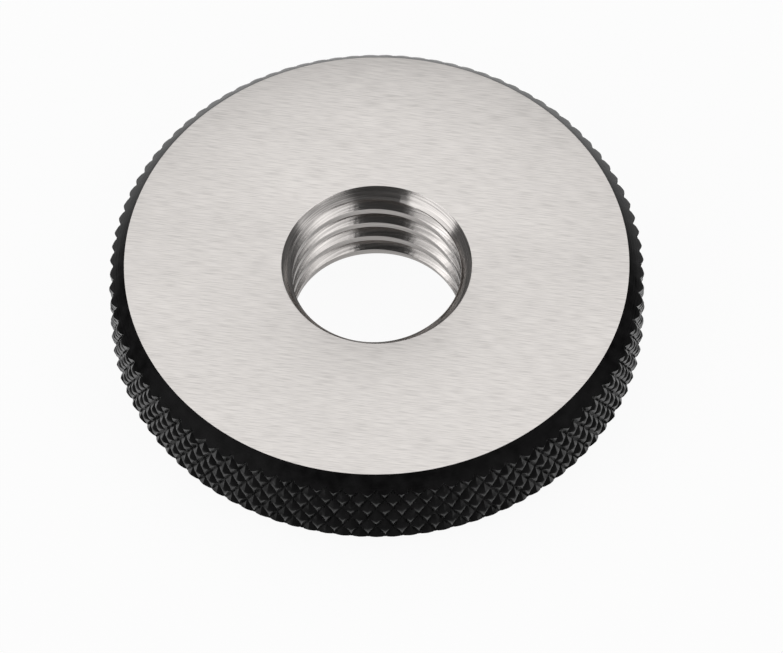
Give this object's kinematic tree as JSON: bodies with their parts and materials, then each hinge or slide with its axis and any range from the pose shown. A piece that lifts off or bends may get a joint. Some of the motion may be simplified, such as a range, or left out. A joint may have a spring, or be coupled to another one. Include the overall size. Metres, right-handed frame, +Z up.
{
  "type": "thread ring gauge",
  "caption": "Flat hardened steel ring with a diamond-knurled rim and a threaded through hole, screwed onto an external thread to check its size.",
  "frame": {"origin": "centre of the lower face, on the axis of the threaded hole", "axes": "+Z runs up along the axis of the threaded hole to the upper face; X and Y lie in the lower face"},
  "size_m": [0.045, 0.045, 0.009],
  "materials": {
    "gauge_steel": "ground bright on both faces and in the thread, black oxide on the chamfers and the knurled rim"
  },
  "bodies": {
    "root": {"gauge_ring": "gauge_steel"}
  },
  "joints": []
}
